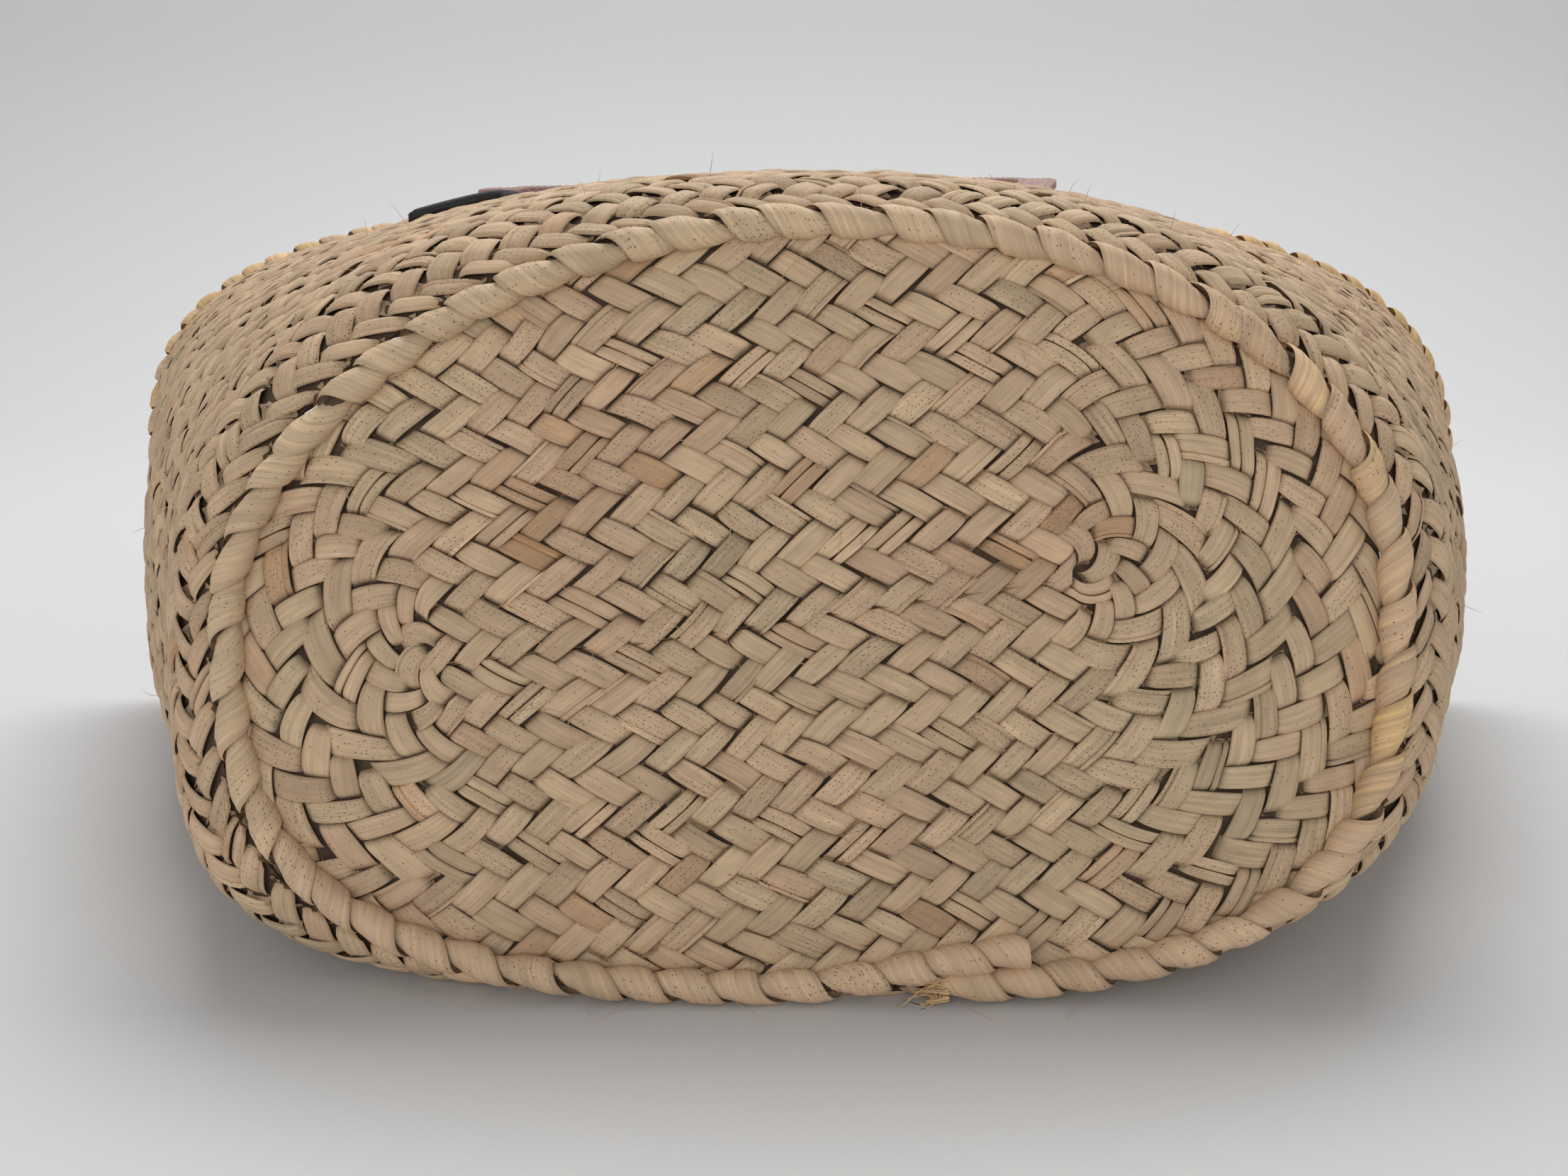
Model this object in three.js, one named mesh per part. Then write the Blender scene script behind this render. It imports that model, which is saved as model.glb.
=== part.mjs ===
// Woven straw basket bag lying on its back wall.
// Millimetres, +Z up. X runs across the bag, +Y from the base to the mouth.
// The base faces -Y and the mouth opens to +Y. The origin is the bottom centre of the whole bag.

import * as THREE from 'three';
import { ParametricGeometry } from 'three/addons/geometries/ParametricGeometry.js';
import { mergeVertices } from 'three/addons/utils/BufferGeometryUtils.js';

// Driving sizes
const BAG_DEPTH = 292;        // base rope to mouth rope along the back wall
const MOUTH_WIDTH = 560;      // between the mouth rope's centre lines
const BAG_HEIGHT = 217;       // crest of the wall's middle surface as the bag lies
const WALL = 3;               // plaited straw, two layers of leaf strips
const SEAT_GAP = 0.3;         // between pieces that touch
const ROPE_SEAT = 0.9;        // wall's edge to the rope sewn along it
const BASE_RIM_R = 4;         // wrapped rope round the base
const MOUTH_RIM_R = 4.5;      // wrapped rope round the mouth
const BASE_WRAP = 14;         // pitch of the leaf wound round the base rope
const WRAP_RELIEF = 0.5;      // height of the winding's ribs
const BASE_RECESS = 2.5;      // base panel's outer face behind the rope's centre line

const STRAP_WIDTH = 16;
const STRAP_THICKNESS = 3.6;
const STRAP_LAP = 14;         // strap's end over its tab
const HANDLE_REACH = 111;     // strap's end to the handle's far stretch
const HANDLE_RISE = 8;        // strap's underside at the mouth rope to its highest
const TAB_WIDTH = 18;
const TAB_LENGTH = 38;
const TAB_THICKNESS = 2.6;
const PLATE_SQUARE = 6;
const RIVET_R = 3;
const RIVET_HEIGHT = 1.5;
const RIVET_INSET = 10;       // rivet's centre from the tab's end
const PATCH_WIDTH = 32;
const PATCH_LENGTH = 44;
const PATCH_THICKNESS = 3.6;

// Mesh fineness
const WALL_TURNS = 64;
const WALL_ROWS = 13;
const ROPE_SIDES = 8;
const MOUTH_STEPS = 112;
const STRAP_STEPS = 48;

// Places on the bag. A setback is the distance from the mouth rope.
const TAB_LEFT_X = -102;
const TAB_RIGHT_X = 89;
const TAB_SETBACK = 82;
const TAB_START_Y = BAG_DEPTH - TAB_SETBACK;
const PATCH_X = -117;
const PATCH_SETBACK = 142;
const PATCH_Y = BAG_DEPTH - PATCH_SETBACK;

// Underside of the wall: flat on the ground between the two ropes.
const ON_GROUND = WALL / 2 - 0.2;
const ROPE_FOOT = BASE_RIM_R + WRAP_RELIEF;

// Cross-sections of the wall's middle surface, from the base rope to the mouth rope.
// share: of BAG_DEPTH. half: of half MOUTH_WIDTH.
// wide, top: widest line and crest, of BAG_HEIGHT. bottom: height of the underside.
// lean: degrees that the section leans back from upright.
const SECTIONS = [
  { share: 0.00, half: 0.548, wide: 0.465, top: 0.933, bottom: ROPE_FOOT, lean: 10 },
  { share: 0.04, half: 0.602, wide: 0.460, top: 0.966, bottom: ON_GROUND, lean: 9.6 },
  { share: 0.10, half: 0.631, wide: 0.435, top: 0.984, bottom: ON_GROUND, lean: 9 },
  { share: 0.25, half: 0.692, wide: 0.385, top: 0.995, bottom: ON_GROUND, lean: 7 },
  { share: 0.45, half: 0.796, wide: 0.350, top: 1.000, bottom: ON_GROUND, lean: 5 },
  { share: 0.75, half: 0.908, wide: 0.355, top: 0.986, bottom: ON_GROUND, lean: 2 },
  { share: 1.00, half: 1.000, wide: 0.392, top: 0.978, bottom: MOUTH_RIM_R, lean: 0 },
];

// Squareness of each quarter of the same sections: 2 is an ellipse, more is squarer.
const QUARTERS = [
  { share: 0.00, crownLeft: 1.85, crownRight: 2.20, footLeft: 3.0, footRight: 3.0 },
  { share: 0.04, crownLeft: 2.05, crownRight: 2.25, footLeft: 4.2, footRight: 3.0 },
  { share: 0.10, crownLeft: 2.25, crownRight: 2.30, footLeft: 4.6, footRight: 2.9 },
  { share: 0.25, crownLeft: 2.45, crownRight: 2.38, footLeft: 4.2, footRight: 2.9 },
  { share: 0.45, crownLeft: 2.65, crownRight: 2.50, footLeft: 3.4, footRight: 3.0 },
  { share: 0.75, crownLeft: 3.05, crownRight: 2.75, footLeft: 3.6, footRight: 3.6 },
  { share: 1.00, crownLeft: 3.35, crownRight: 3.05, footLeft: 4.0, footRight: 4.0 },
];

// Centre line of the handle strap, from the left tab round to the right tab.
// side: of the space between the tabs. reach: of HANDLE_REACH. rise: of HANDLE_RISE.
const HANDLE_PATH = [
  { side: 0.000, reach: 0.000, rise: -0.200 },
  { side: -0.016, reach: 0.252, rise: 0.000 },
  { side: -0.084, reach: 0.505, rise: 0.150 },
  { side: -0.157, reach: 0.703, rise: 0.275 },
  { side: -0.141, reach: 0.892, rise: 0.500 },
  { side: -0.005, reach: 0.982, rise: 0.625 },
  { side: 0.319, reach: 1.000, rise: 0.800 },
  { side: 0.686, reach: 0.991, rise: 0.950 },
  { side: 0.948, reach: 0.937, rise: 1.000 },
  { side: 1.058, reach: 0.748, rise: 0.875 },
  { side: 1.052, reach: 0.505, rise: 0.625 },
  { side: 1.016, reach: 0.252, rise: 0.150 },
  { side: 1.000, reach: 0.000, rise: -0.200 },
];

const straw = new THREE.MeshStandardMaterial({ color: 0xb59c7c, roughness: 0.8, metalness: 0 });
const ropeStraw = new THREE.MeshStandardMaterial({ color: 0xc0a57d, roughness: 0.75, metalness: 0 });
const pinkLeather = new THREE.MeshStandardMaterial({ color: 0xb08a82, roughness: 0.55, metalness: 0 });
const blackLeather = new THREE.MeshStandardMaterial({ color: 0x141313, roughness: 0.5, metalness: 0 });
const bareSteel = new THREE.MeshStandardMaterial({ color: 0xc9c9c9, roughness: 0.25, metalness: 1 });

function slopeAt(table, key, index) {
  const before = table[Math.max(index - 1, 0)];
  const after = table[Math.min(index + 1, table.length - 1)];
  return (after[key] - before[key]) / (after.share - before.share);
}

// Smooth value of one column of a table at any share of the depth.
function column(table, key, share) {
  let index = 0;
  while (index < table.length - 2 && share > table[index + 1].share) index += 1;
  const low = table[index];
  const high = table[index + 1];
  const span = high.share - low.share;
  const t = (share - low.share) / span;
  const t2 = t * t;
  const t3 = t2 * t;
  return (2 * t3 - 3 * t2 + 1) * low[key]
    + (t3 - 2 * t2 + t) * span * slopeAt(table, key, index)
    + (3 * t2 - 2 * t3) * high[key]
    + (t3 - t2) * span * slopeAt(table, key, index + 1);
}

function sectionAt(share) {
  const section = {};
  for (const table of [SECTIONS, QUARTERS]) {
    for (const key of Object.keys(table[0])) section[key] = column(table, key, share);
  }
  section.half *= MOUTH_WIDTH / 2;
  section.wide *= BAG_HEIGHT;
  section.top *= BAG_HEIGHT;
  section.tilt = Math.tan(THREE.MathUtils.degToRad(section.lean));
  return section;
}

const signedPower = (value, power) => Math.sign(value) * Math.abs(value) ** power;

// Point of the section at a turn from 0 to 1, offset outwards in the section's plane.
function sectionPoint(share, turn, offset) {
  const section = sectionAt(share);
  const angle = (turn % 1) * 2 * Math.PI;
  const upper = Math.sin(angle) >= 0;
  const side = Math.cos(angle) < 0 ? 'Left' : 'Right';
  const power = 2 / section[(upper ? 'crown' : 'foot') + side];
  const height = upper ? section.top - section.wide : section.wide - section.bottom;
  const x = (section.half + offset) * signedPower(Math.cos(angle), power);
  const rise = (height + offset) * signedPower(Math.sin(angle), power);
  const z = Math.max(section.wide + rise, WALL / 2 - offset);
  return new THREE.Vector3(x, share * BAG_DEPTH + z * section.tilt, z);
}

// Height of the wall's outer face above a place on the upper wall.
function wallTop(x, y) {
  let share = y / BAG_DEPTH;
  let z = 0;
  for (let pass = 0; pass < 6; pass += 1) {
    const section = sectionAt(share);
    const across = Math.abs(x) / (section.half + WALL / 2);
    const height = section.top - section.wide + WALL / 2;
    const crown = x < 0 ? section.crownLeft : section.crownRight;
    z = section.wide + height * (1 - across ** crown) ** (1 / crown);
    share = (y - z * section.tilt) / BAG_DEPTH;
  }
  return z;
}

function closedGeometry(geometry) {
  geometry.deleteAttribute('normal');
  geometry.deleteAttribute('uv');
  const merged = mergeVertices(geometry, 1e-4);
  merged.computeVertexNormals();
  return merged;
}

function namedMesh(name, geometry, material) {
  const mesh = new THREE.Mesh(closedGeometry(geometry), material);
  mesh.name = name;
  return mesh;
}

// Open shell: the outer face from base to mouth, then the inner face back again.
function wallGeometry() {
  const loop = 2 * (WALL_ROWS + 1);
  const first = (BASE_RIM_R + WRAP_RELIEF + ROPE_SEAT) / BAG_DEPTH;
  const last = 1 - (MOUTH_RIM_R + ROPE_SEAT) / BAG_DEPTH;
  function place(turn, along, target) {
    const step = Math.round(along * loop) % loop;
    const outer = step <= WALL_ROWS;
    const row = outer ? step : loop - 1 - step;
    const share = first + (last - first) * row / WALL_ROWS;
    target.copy(sectionPoint(share, 1 - turn, outer ? WALL / 2 : -WALL / 2));
  }
  return new ParametricGeometry(place, WALL_TURNS, loop);
}

// Rope that follows one section of the wall. ribs: the wound leaf's relief.
function ropeGeometry(share, radius, steps, ribs) {
  const section = sectionAt(share);
  const facing = new THREE.Vector3(0, -1, section.tilt).normalize();
  function place(turn, around, target) {
    const step = Math.round(turn * steps) % steps;
    const here = sectionPoint(share, step / steps, 0);
    const next = sectionPoint(share, (step + 0.5) / steps, 0);
    const last = sectionPoint(share, (step - 0.5 + steps) / steps, 0);
    const outward = next.sub(last).cross(facing).normalize();
    const side = Math.round(around * ROPE_SIDES) % ROPE_SIDES;
    const angle = 2 * Math.PI * side / ROPE_SIDES;
    const reach = radius + (step % 2 === 0 ? ribs : 0);
    target.copy(here);
    target.addScaledVector(outward, reach * Math.cos(angle));
    target.addScaledVector(facing, reach * Math.sin(angle));
  }
  return new ParametricGeometry(place, steps, ROPE_SIDES);
}

function baseRimSteps() {
  let length = 0;
  for (let step = 0; step < WALL_TURNS; step += 1) {
    const start = sectionPoint(0, step / WALL_TURNS, 0);
    length += start.distanceTo(sectionPoint(0, (step + 1) / WALL_TURNS, 0));
  }
  return 2 * Math.round(length / BASE_WRAP);
}

// Flat woven panel that fills the base rope, set back from the rope's crest.
function basePanel() {
  const lean = THREE.MathUtils.degToRad(SECTIONS[0].lean);
  const inset = -Math.sqrt((BASE_RIM_R + WRAP_RELIEF + SEAT_GAP) ** 2 - BASE_RECESS ** 2);
  const outline = [];
  for (let step = 0; step < WALL_TURNS; step += 1) {
    const point = sectionPoint(0, step / WALL_TURNS, inset);
    outline.push(new THREE.Vector2(point.x, point.z / Math.cos(lean)));
  }
  const plate = new THREE.ExtrudeGeometry(new THREE.Shape(outline), { depth: WALL, bevelEnabled: false });
  const mesh = namedMesh('base_panel', plate, straw);
  mesh.rotation.x = Math.PI / 2 - lean;
  const back = BASE_RECESS + WALL;
  mesh.position.set(0, back * Math.cos(lean), -back * Math.sin(lean));
  return mesh;
}

// Lays a flat leather piece on the upper wall, or at the height that lift gives.
function layOn(geometry, lift) {
  const position = geometry.attributes.position;
  for (let index = 0; index < position.count; index += 1) {
    const x = position.getX(index);
    const y = position.getY(index);
    position.setZ(index, position.getZ(index) + lift(x, y));
  }
  return geometry;
}

// Plate in small squares, so that it can follow the wall's curve.
function flexiblePlate(x, y, width, length, thickness) {
  const plate = new THREE.BoxGeometry(
    width, length, thickness,
    Math.round(width / PLATE_SQUARE), Math.round(length / PLATE_SQUARE), 1,
  );
  return plate.translate(x, y + length / 2, thickness / 2);
}

const onWall = (x, y) => wallTop(x, y) + 2 * SEAT_GAP;

function leatherTab(name, x) {
  const plate = flexiblePlate(x, TAB_START_Y, TAB_WIDTH, TAB_LENGTH, TAB_THICKNESS);
  return namedMesh(name, layOn(plate, onWall), blackLeather);
}

function leatherPatch() {
  const plate = flexiblePlate(PATCH_X, PATCH_Y, PATCH_WIDTH, PATCH_LENGTH, PATCH_THICKNESS);
  return namedMesh('leather_patch', layOn(plate, onWall), blackLeather);
}

// Centre line of the strap's underside. It lies just clear of the mouth rope.
function handlePath() {
  const tabEnd = TAB_START_Y + TAB_LENGTH;
  const low = sectionAt(1).top + MOUTH_RIM_R + 2 * SEAT_GAP;
  const points = HANDLE_PATH.map((row) => new THREE.Vector3(
    TAB_LEFT_X + row.side * (TAB_RIGHT_X - TAB_LEFT_X),
    tabEnd - STRAP_LAP + row.reach * HANDLE_REACH,
    low + row.rise * HANDLE_RISE,
  ));
  return new THREE.CatmullRomCurve3(points, false, 'centripetal');
}

// Flat strap bent in its own plane, with both ends over the tabs.
function handleStrap() {
  const path = handlePath();
  const left = [];
  const right = [];
  const lifts = [];
  for (let step = 0; step <= STRAP_STEPS; step += 1) {
    const point = path.getPointAt(step / STRAP_STEPS);
    const ahead = path.getTangentAt(step / STRAP_STEPS);
    const side = new THREE.Vector2(-ahead.y, ahead.x).normalize().multiplyScalar(STRAP_WIDTH / 2);
    left.push(new THREE.Vector2(point.x + side.x, point.y + side.y));
    right.unshift(new THREE.Vector2(point.x - side.x, point.y - side.y));
    lifts.push(point);
  }
  const outline = new THREE.Shape([...left, ...right]);
  const strap = new THREE.ExtrudeGeometry(outline, { depth: STRAP_THICKNESS, bevelEnabled: false });
  function lift(x, y) {
    let nearest = lifts[0];
    let best = Infinity;
    for (const point of lifts) {
      const distance = Math.hypot(point.x - x, point.y - y);
      if (distance < best) {
        best = distance;
        nearest = point;
      }
    }
    if (y > TAB_START_Y + TAB_LENGTH + STRAP_THICKNESS) return nearest.z;
    return Math.max(nearest.z, onWall(x, y) + TAB_THICKNESS + 2 * SEAT_GAP);
  }
  return namedMesh('handle_strap', layOn(strap, lift), pinkLeather);
}

// Low domed rivet head on a leather piece.
function rivet(name, x, y, seat) {
  const profile = [new THREE.Vector2(0, 0), new THREE.Vector2(RIVET_R, 0)];
  for (let step = 1; step <= 4; step += 1) {
    const angle = step * Math.PI / 8;
    const radius = step === 4 ? 0 : RIVET_R * Math.cos(angle);
    profile.push(new THREE.Vector2(radius, RIVET_HEIGHT * Math.sin(angle)));
  }
  const head = namedMesh(name, new THREE.LatheGeometry(profile, 12), bareSteel);
  head.rotation.x = Math.PI / 2;
  head.position.set(x, y, seat + SEAT_GAP);
  return head;
}

const bag = new THREE.Group();
bag.add(namedMesh('body_wall', wallGeometry(), straw));
bag.add(basePanel());
bag.add(namedMesh('base_rim', ropeGeometry(0, BASE_RIM_R, baseRimSteps(), WRAP_RELIEF), ropeStraw));
bag.add(namedMesh('mouth_rim', ropeGeometry(1, MOUTH_RIM_R, MOUTH_STEPS, 0), ropeStraw));
bag.add(handleStrap());
bag.add(leatherTab('handle_tab_left', TAB_LEFT_X));
bag.add(leatherTab('handle_tab_right', TAB_RIGHT_X));
bag.add(leatherPatch());

const rivetY = TAB_START_Y + RIVET_INSET;
for (const [side, x] of [['left', TAB_LEFT_X], ['right', TAB_RIGHT_X]]) {
  bag.add(rivet(`rivet_${side}`, x, rivetY, onWall(x, rivetY) + TAB_THICKNESS + SEAT_GAP));
}

// The origin goes to the bottom centre of the whole bag.
const placed = new THREE.Group();
const box = new THREE.Box3().setFromObject(bag, true);
const centre = box.getCenter(new THREE.Vector3());
bag.position.set(-centre.x, -centre.y, -box.min.z);
placed.add(bag);

export default placed;
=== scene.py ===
# Straw basket bag lying on its back wall: plaited leaf, wound rope rims and leather fittings.
# Lengths are in millimetres up to the mesh builders, which write metres in the frame's place.
import math

import bpy
import numpy as np
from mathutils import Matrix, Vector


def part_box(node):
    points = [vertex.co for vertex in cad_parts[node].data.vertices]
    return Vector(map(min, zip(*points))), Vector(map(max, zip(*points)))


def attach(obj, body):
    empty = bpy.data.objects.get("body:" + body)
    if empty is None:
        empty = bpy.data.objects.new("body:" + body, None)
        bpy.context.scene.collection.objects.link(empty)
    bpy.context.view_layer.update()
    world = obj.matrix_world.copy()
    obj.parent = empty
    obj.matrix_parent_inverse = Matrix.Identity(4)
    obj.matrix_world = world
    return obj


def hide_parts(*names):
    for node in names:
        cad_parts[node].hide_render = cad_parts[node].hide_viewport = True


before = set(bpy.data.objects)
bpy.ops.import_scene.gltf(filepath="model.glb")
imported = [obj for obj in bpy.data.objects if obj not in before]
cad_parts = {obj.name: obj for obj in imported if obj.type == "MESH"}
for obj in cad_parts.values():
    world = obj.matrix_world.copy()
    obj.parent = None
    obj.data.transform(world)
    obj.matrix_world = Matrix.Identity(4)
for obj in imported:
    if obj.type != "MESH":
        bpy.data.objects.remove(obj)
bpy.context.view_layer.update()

rng = np.random.default_rng(20)
MM = 0.001

# Driving sizes, the same as in part.mjs
BAG_DEPTH = 292
MOUTH_WIDTH = 560
BAG_HEIGHT = 217
WALL = 3
SEAT_GAP = 0.3
BASE_RIM_R = 4
MOUTH_RIM_R = 4.5
BASE_WRAP = 14
MOUTH_WRAP = 11.8
ROPE_BULGE = 1.2             # scale of a turn's bulge
TURN_SIDES = (-1.0, -0.64, -0.3, 0.0, 0.3, 0.6, 0.85, 0.97, 1.0)
TURN_HEIGHTS = (-1.7, -1.1, -0.35, 0.25, 0.55, 0.6, 0.45, 0.2, -0.1)
BASE_RECESS = 2.5
STRAP_WIDTH = 16
STRAP_THICKNESS = 3.6
STRAP_LAP = 14
HANDLE_REACH = 111
HANDLE_RISE = 8
TAB_WIDTH = 18
TAB_LENGTH = 38
TAB_THICKNESS = 2.6
RIVET_R = 3
RIVET_HEIGHT = 1.5
RIVET_INSET = 10
PATCH_WIDTH = 32
PATCH_LENGTH = 44
PATCH_THICKNESS = 3.6
TAB_LEFT_X = -102
TAB_RIGHT_X = 89
TAB_START_Y = BAG_DEPTH - 82
PATCH_X = -117
PATCH_Y = BAG_DEPTH - 142

# Columns: share of BAG_DEPTH, half of half MOUTH_WIDTH, wide and top of BAG_HEIGHT, bottom in
# millimetres, squareness of the upper left, upper right, lower left and lower right, lean in degrees
SECTIONS = np.array([
    [0.00, 0.548, 0.465, 0.933, 4.5, 1.85, 2.20, 3.0, 3.0, 10],
    [0.04, 0.602, 0.460, 0.966, 1.3, 2.05, 2.25, 4.2, 3.0, 9.6],
    [0.10, 0.631, 0.435, 0.984, 1.3, 2.25, 2.30, 4.6, 2.9, 9],
    [0.25, 0.692, 0.385, 0.995, 1.3, 2.45, 2.38, 4.2, 2.9, 7],
    [0.45, 0.796, 0.350, 1.000, 1.3, 2.65, 2.50, 3.4, 3.0, 5],
    [0.75, 0.908, 0.355, 0.986, 1.3, 3.05, 2.75, 3.6, 3.6, 2],
    [1.00, 1.000, 0.392, 0.978, 4.5, 3.35, 3.05, 4.0, 4.0, 0],
])

# Columns: side of the space between the tabs, reach of HANDLE_REACH, rise of HANDLE_RISE
HANDLE_PATH = np.array([
    [0.000, 0.000, -0.200],
    [-0.016, 0.252, 0.000],
    [-0.084, 0.505, 0.150],
    [-0.157, 0.703, 0.275],
    [-0.141, 0.892, 0.500],
    [-0.005, 0.982, 0.625],
    [0.319, 1.000, 0.800],
    [0.686, 0.991, 0.950],
    [0.948, 0.937, 1.000],
    [1.058, 0.748, 0.875],
    [1.052, 0.505, 0.625],
    [1.016, 0.252, 0.150],
    [1.000, 0.000, -0.200],
])

# Plait
PITCH = 11.2                 # float to float along a row
LEAF = 8.0                   # width of one leaf strip
WALL_ROWS = 35
WALL_BANDS = 5               # plaits sewn edge to edge, each with its own count
BASE_ROW_PITCH = 8.0
BASE_ROWS = 14
SPINE_FLOATS = 15
SPINE_START = (-98, -14)     # from the base's centre, in its plane
SPINE_TURN = 8.0             # degrees
BASE_CENTRE_Z = 104
BASE_BANDS = (3, 3, 7, 7, 7, 13, 13, 13, 20, 20, 20, 27, 27, 27, 27)  # floats round one end, by row
TUCK = 0.2                   # share of a half float that runs on under its neighbour
LEAF_EDGE = 0.45             # height of a leaf's edge above what lies under it
PLAIT_SEAT = WALL / 2 - 0.6  # floats' seat off the wall's middle surface
FIRST_SHARE = (BASE_RIM_R - 1) / BAG_DEPTH
LAST_SHARE = 1 - (MOUTH_RIM_R - 1) / BAG_DEPTH
OVER_FLOOR = 0.05
LEAF_STOCK = 900             # length of leaf that each strip's pattern is drawn from

# Rope's cut end and stitches
ROPE_START_X = 33
ROPE_LAP_STEPS = 120
ROPE_CLIMB_STEPS = 330
ROPE_LAP_RISE = 8.5
ROPE_LAP_FRONT = 1.5
MOUTH_LAP_STEPS = 60
STITCH_PITCH = 3.4

# Colours, linear
GREEN_GREY = (0.42, 0.325, 0.205)
SAND = (0.50, 0.36, 0.225)
PINK_SAND = (0.49, 0.335, 0.215)
TAN = (0.42, 0.24, 0.12)
OCHRE = (0.56, 0.375, 0.17)
SPECK = (0.10, 0.05, 0.025)
# Painted shade colour for the darkened leaf edges and tucked ends
PAINTED_CREVICE_SHADE = (0.13, 0.075, 0.04)

# Camera, in metres and degrees; lights: place, aim, size and power
CAMERA_PLACE = (-0.0073, -0.5459, 0.1914)
CAMERA_PITCH = 78
CAMERA_LENS = 35
LIGHTS = {
    "top_softbox": ((0.1, 0.8, 2.4), (0, 0, 0), (2.0, 1.0), 43),
    "wall_wash": ((0, 0.5, 1.6), (0, 2.2, 0.2), (2.5, 0.4), 2.5),
    "front_fill": ((-0.3, -1.6, 0.55), (0, 0, 0.1), (2.0, 0.8), 7.5),
}
AIR_COLOUR = (0.96, 0.98, 1.0, 1)
AIR_STRENGTH = 0.33

# The bag's own origin in the frame
rim_low, rim_high = (np.array(corner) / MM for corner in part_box("mouth_rim"))
SHIFT = np.array([(rim_low[0] + rim_high[0]) / 2, (rim_low[1] + rim_high[1]) / 2 - BAG_DEPTH, 0])


# Helpers

def reach_along(line):
    """Distance of each point along a line from its start."""
    return np.concatenate([[0], np.cumsum(np.linalg.norm(np.diff(line, axis=0), axis=1))])


def read_along(values, reach, marks):
    """Points or directions given along a line, read at marks."""
    return np.stack([np.interp(marks, reach, values[:, axis]) for axis in range(3)], axis=-1)


def unit(vectors):
    return vectors / np.linalg.norm(vectors, axis=-1, keepdims=True)


def spread(shape, *values):
    """Values side by side for each point of a grid."""
    return np.stack([np.broadcast_to(value, shape) for value in values], axis=-1)


def spot(x, y, middle, size):
    """Soft round spot, 1 at its middle."""
    return np.exp(-((x - middle[0]) ** 2 + (y - middle[1]) ** 2) / size)


def smooth_step(t):
    return t**2 * (3 - 2 * t)


# Wall shape

def column(values, share):
    """Smooth value of one column of SECTIONS at any share of the depth."""
    knots = SECTIONS[:, 0]
    index = np.clip(np.searchsorted(knots, share, side="left") - 1, 0, len(knots) - 2)
    before = np.maximum(np.arange(len(knots)) - 1, 0)
    after = np.minimum(np.arange(len(knots)) + 1, len(knots) - 1)
    slopes = (values[after] - values[before]) / (knots[after] - knots[before])
    span = knots[index + 1] - knots[index]
    t = (share - knots[index]) / span
    low = (2 * t**3 - 3 * t**2 + 1) * values[index] + (t**3 - 2 * t**2 + t) * span * slopes[index]
    high = (3 * t**2 - 2 * t**3) * values[index + 1] + (t**3 - t**2) * span * slopes[index + 1]
    return low + high


def section_at(share):
    """Half width, widest line, crest, underside, four squarenesses and the lean's slope."""
    half = column(SECTIONS[:, 1], share) * MOUTH_WIDTH / 2
    wide = column(SECTIONS[:, 2], share) * BAG_HEIGHT
    top = column(SECTIONS[:, 3], share) * BAG_HEIGHT
    bottom = column(SECTIONS[:, 4], share)
    corners = [column(SECTIONS[:, key], share) for key in (5, 6, 7, 8)]
    slope = np.tan(np.radians(column(SECTIONS[:, 9], share)))
    return half, wide, top, bottom, corners, slope


def signed_power(value, power):
    return np.sign(value) * np.abs(value) ** power


def section_point(share, turn):
    """Point of the wall's middle surface at a turn from 0 (right) anticlockwise to 1."""
    half, wide, top, bottom, corners, slope = section_at(share)
    angle = turn * 2 * np.pi
    upper = np.sin(angle) >= 0
    left = np.cos(angle) < 0
    crown = np.where(left, corners[0], corners[1])
    foot = np.where(left, corners[2], corners[3])
    power = 2 / np.where(upper, crown, foot)
    height = np.where(upper, top - wide, wide - bottom)
    x = half * signed_power(np.cos(angle), power)
    z = np.maximum(wide + height * signed_power(np.sin(angle), power), WALL / 2)
    return np.stack([x, share * BAG_DEPTH + z * slope, z], axis=-1)


def wall_top(x, y):
    """Height of the wall's outer face above a place on the upper wall."""
    share = y / BAG_DEPTH
    for _ in range(6):
        half, wide, top, _, corners, slope = section_at(share)
        crown = np.where(x < 0, corners[0], corners[1])
        across = np.clip(np.abs(x) / (half + WALL / 2), 0, 1)
        z = wide + (top - wide + WALL / 2) * (1 - across**crown) ** (1 / crown)
        share = (y - z * slope) / BAG_DEPTH
    return z


class Surface:
    """Wall's middle surface in even steps of arc length, from the bottom centre anticlockwise."""

    def __init__(self, rows=121, steps=1440):
        self.rows, self.steps = rows, steps
        share = np.linspace(0, 1, rows)[:, None]
        turn = np.linspace(0.75, 1.75, 6001)[None, :]
        fine = section_point(*np.broadcast_arrays(share, turn))
        reaches = [reach_along(line) for line in fine]
        self.girth = np.array([reach[-1] for reach in reaches])
        even = np.linspace(0, 1, steps + 1)[:-1]
        self.points = np.stack([read_along(line, reach, even * reach[-1])
                                for line, reach in zip(fine, reaches)])
        around = np.roll(self.points, -2, axis=1) - np.roll(self.points, 2, axis=1)
        self.normals = unit(np.cross(np.gradient(self.points, axis=0), around))

    def blend(self, grid, share, part):
        row = np.clip(share, 0, 1) * (self.rows - 1)
        low = np.minimum(row.astype(int), self.rows - 2)
        fr = (row - low)[..., None]
        step = (part % 1) * self.steps
        left = step.astype(int) % self.steps
        right = (left + 1) % self.steps
        fs = (step - np.floor(step))[..., None]
        near = grid[low, left] * (1 - fs) + grid[low, right] * fs
        far = grid[low + 1, left] * (1 - fs) + grid[low + 1, right] * fs
        return near * (1 - fr) + far * fr

    def at(self, share, part, height):
        normal = self.blend(self.normals, share, part)
        return self.blend(self.points, share, part) + normal * height[..., None]


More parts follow.
